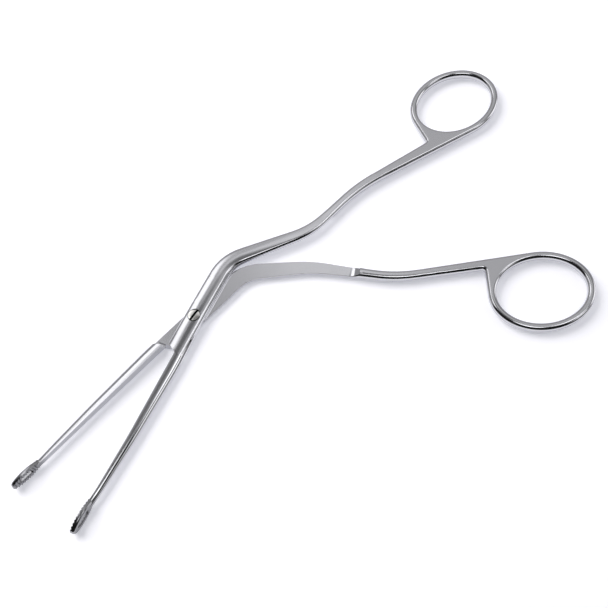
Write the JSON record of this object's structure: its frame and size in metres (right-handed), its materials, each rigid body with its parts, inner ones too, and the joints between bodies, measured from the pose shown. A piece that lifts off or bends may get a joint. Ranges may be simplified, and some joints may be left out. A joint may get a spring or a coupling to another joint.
{
  "type": "magill forceps",
  "caption": "Slim angled surgical forceps: crossed steel halves on a slotted pivot screw, offset handles with oval finger rings, small oval serrated open jaw rings.",
  "frame": {"origin": "bottom centre of the bounding box with the jaws standing open as in the rest pose", "axes": "+X from the jaw tips towards the finger rings, half way between the jaws; +Z along the pivot screw, out of its slotted head; +Y completes a right-handed set, away from the side to which the handles bend"},
  "size_m": [0.2124, 0.1188, 0.0047],
  "materials": {
    "satin_steel": "satin",
    "screw_steel": "turned and polished"
  },
  "bodies": {
    "lower": {"lower_half": "satin_steel", "pivot_screw": "screw_steel"},
    "upper": {"upper_half": "satin_steel"}
  },
  "joints": [
    {"name": "pivot", "type": "hinge", "parent": "lower", "child": "upper", "pos_m": [-0.03092, 0.04626, 0.00235], "axis": [0, 0, 1], "range_deg": [-17.5, 27]}
  ]
}
